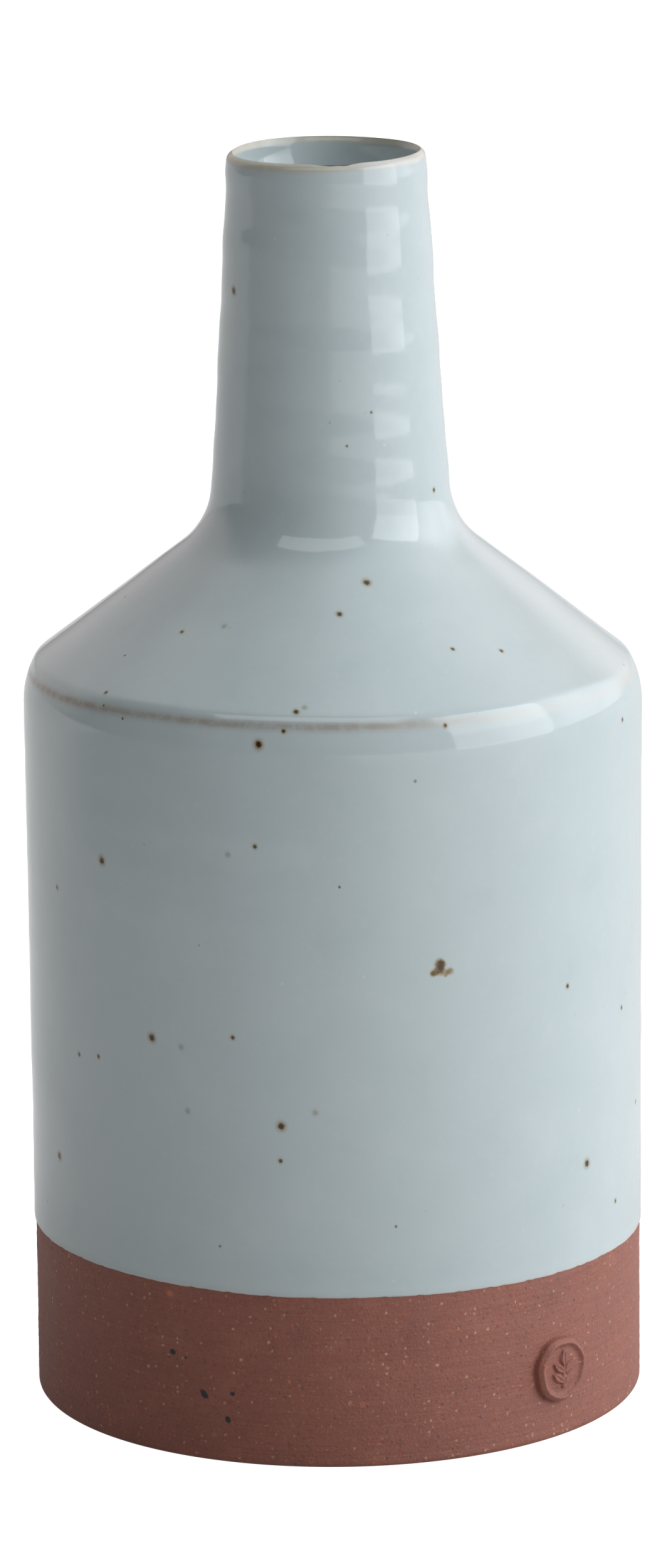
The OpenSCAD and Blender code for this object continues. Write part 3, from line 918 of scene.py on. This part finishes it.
# The table's glow goes from the front's to the far one, and then each other part mixes its own brightness
# over the last: glow * (1 - mask) + part * mask.
def makeTable(look):
    half, steps = look["size"] / 2, look["steps"]
    axis = np.linspace(-half, half, steps)
    x, y = np.meshgrid(axis, axis, indexing="xy")
    points = np.stack([x, y, 0 * x], axis=-1).reshape(-1, 3)
    index = np.arange(steps * steps).reshape(steps, steps)
    quads = np.stack([index[:-1, :-1], index[:-1, 1:], index[1:, 1:], index[1:, :-1]], axis=-1)
    mesh = bpy.data.meshes.new("tableSheet")
    mesh.from_pydata(points.tolist(), [], quads.reshape(-1, 4).tolist())
    table = placed("tableSheet", mesh)
    material, tree, place = newMaterial("paleTable")
    across, back, up = addNode(tree, "ShaderNodeSeparateXYZ", {0: place}).outputs
    away = vectorNode(tree, "LENGTH", place, output="Value")
    glow = rangeNode(tree, away, *look["farSpan"], look["frontGlow"], look["farGlow"])
    for value, part in ((away, "near"), (across, "right"), (back, "behind")):
        mask = rangeNode(tree, value, *look[part + "Span"])
        kept = times(tree, glow, mathNode(tree, "SUBTRACT", 1.0, mask))
        glow = mathNode(tree, "ADD", kept, times(tree, mask, look[part + "Glow"]))
    endMaterial(tree, {
        "Base Color": (*(look["albedo"],) * 3, 1), "Roughness": 0.9, "Emission Color": (1, 1, 1, 1),
        "Emission Strength": seenWhite(tree, glow, look["seen"]), "Specular IOR Level": 0.2})
    mesh.materials.append(material)


# The room's light: soft round lobes on a dark base. Each lobe has a turn from the front towards +X, a height
# in degrees, the half angles where it starts and stops fading, and its brightness in red, green and blue.
roomLight = {
    "seen": 1.05,
    "lobes": (
        (-145, 25, 20, 45, (0.74, 0.66, 0.66)),     # wall behind on the left
        (130, 25, 20, 45, (0.62, 0.44, 0.38)),      # wall behind on the right
        (160, 8, 8, 24, (0.60, 0.58, 0.58)),        # low behind on the right
        (90, 15, 12, 32, (1.15, 1.15, 1.15)),       # right
        (112, 8, 12, 35, (1.20, 1.30, 1.45)),       # low on the right, towards the back
        (95, 55, 20, 45, (0.72, 0.82, 0.85)),       # high on the right
        (-170, 76, 20, 42, (0.44, 0.45, 0.43)),     # ceiling, towards the back
    ),
}


# The direction at a turn from the front towards +X and a height, both in degrees.
def towards(turn, up):
    t, e = math.radians(turn), math.radians(up)
    return math.sin(t) * math.cos(e), -math.cos(t) * math.cos(e), math.sin(e)


# The room's brightness in a direction: the sum of its lobes, each a smooth step of the cosine of the angle
# from its middle. The camera also sees the plain white.
def makeRoom(look):
    world = bpy.data.worlds.new("studioRoom")
    bpy.context.scene.world = world
    world.use_nodes = True
    tree = world.node_tree
    tree.nodes.clear()
    looking = addNode(tree, "ShaderNodeTexCoord").outputs["Generated"]
    direct = addNode(tree, "ShaderNodeLightPath").outputs["Is Camera Ray"]
    total = vectorNode(tree, "MULTIPLY", direct, (look["seen"],) * 3)
    for turn, up, inner, outer, bright in look["lobes"]:
        facing = vectorNode(tree, "DOT_PRODUCT", looking, towards(turn, up), "Value")
        lobe = rangeNode(tree, facing, math.cos(math.radians(outer)), math.cos(math.radians(inner)))
        total = vectorNode(tree, "ADD", vectorNode(tree, "MULTIPLY", lobe, bright), total)
    background = addNode(tree, "ShaderNodeBackground", {"Color": total})
    addNode(tree, "ShaderNodeOutputWorld", {0: background.outputs[0]})


# Soft windows: turn, height, distance, the lamp's width and height in metres, and brightness in three
# colours.
windows = {
    "windowSill": {"turn": 66.5, "up": 3.6, "distance": 2.0, "size": (1.55, 0.53), "bright": (2.2, 2.2, 2.2)},
    "windowPane": {"turn": 66.5, "up": 25, "distance": 2.0, "size": (1.55, 0.98), "bright": (3.1, 3.2, 3.3)},
    "skyWindow": {"turn": -10, "up": 48, "distance": 1.9, "size": (2.3, 0.66), "bright": (1.8, 1.8, 1.8)},
}


# A lamp at a turn and height about the vase, facing it. Its power is brightness times pi times its area.
def makeWindow(name, look):
    width, tall = look["size"]
    lamp = bpy.data.lights.new(name, "AREA")
    lamp.shape, lamp.size, lamp.size_y = "RECTANGLE", width, tall
    strongest = max(look["bright"])
    lamp.energy = strongest * math.pi * width * tall
    lamp.color = [part / strongest for part in look["bright"]]
    thing, away = placed(name, lamp), Vector(towards(look["turn"], look["up"]))
    thing.location = away * look["distance"] + Vector((0, 0, 0.12))
    thing.rotation_euler = away.to_track_quat("Z", "Y").to_euler()
    thing.visible_camera = False


makeTable(tableLook)
makeRoom(roomLight)
for name, look in windows.items():
    makeWindow(name, look)
print("studio lit")

cameraLook = {
    "aside": 0.00036, "aimHeight": 0.0900, "distance": 1.12390, "lookDown": 13.388, "roll": -0.57,
    "lens": 176.82,
}


# The camera stands on a line through the aim point, looks down along it, and is turned about that line.
def makeCamera(look):
    camera = bpy.data.cameras.new("studioCamera")
    camera.sensor_fit, camera.sensor_width, camera.lens = "AUTO", 36.0, look["lens"]
    camera.clip_start, camera.clip_end = 0.05, 50
    thing, down = placed("studioCamera", camera), math.radians(look["lookDown"])
    thing.location = (look["aside"], -look["distance"] * math.cos(down),
                      look["aimHeight"] + look["distance"] * math.sin(down))
    turned = Matrix.Rotation(math.pi / 2 - down, 3, "X") @ Matrix.Rotation(math.radians(look["roll"]), 3, "Z")
    thing.rotation_euler = turned.to_euler()
    bpy.context.scene.camera = thing


makeCamera(cameraLook)
scene = bpy.context.scene
scene.view_settings.view_transform = "Standard"
scene.view_settings.look = "None"
